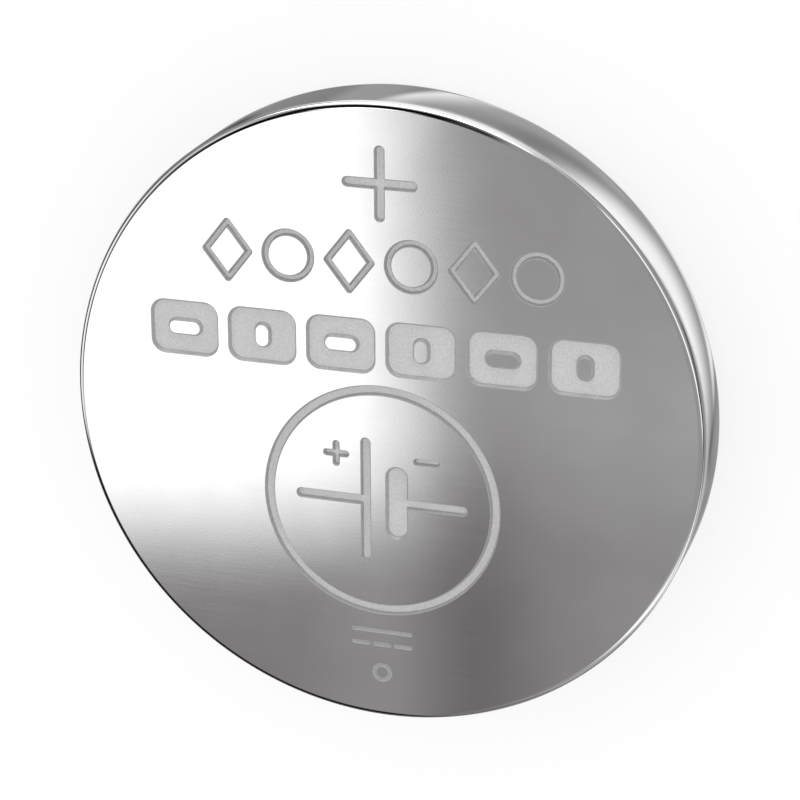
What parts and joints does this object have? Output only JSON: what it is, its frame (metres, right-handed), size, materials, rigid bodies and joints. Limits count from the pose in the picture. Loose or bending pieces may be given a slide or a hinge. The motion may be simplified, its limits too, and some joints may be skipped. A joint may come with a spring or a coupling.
{
  "type": "lithium coin cell",
  "caption": "Round flat lithium coin cell, 20 mm wide and 3.2 mm high, with a stamped positive face, a crimped rim and a stepped negative cap.",
  "frame": {"origin": "centre of the negative contact face, on the plane the cell lies on", "axes": "+Z along the axis of the cell, from the negative contact to the stamped positive face; +X runs along the rows of stamped marks and +Y from the ring towards the plus sign, as they are read"},
  "size_m": [0.02, 0.02, 0.0032],
  "materials": {
    "can_steel": "polished, faint rolling grain, matte floors in the stamped marks",
    "cap_steel": "satin",
    "gasket_plastic": "matte, slightly milky",
    "ring_steel": "plain",
    "lithium": "dull",
    "separator_fleece": "matte",
    "cathode_black": "matte, pressed powder"
  },
  "bodies": {
    "root": {"positive_can": "can_steel", "sealing_gasket": "gasket_plastic", "negative_cap": "cap_steel", "lithium_anode": "lithium", "separator": "separator_fleece", "cathode_pellet": "cathode_black", "cathode_ring": "ring_steel"}
  },
  "joints": []
}
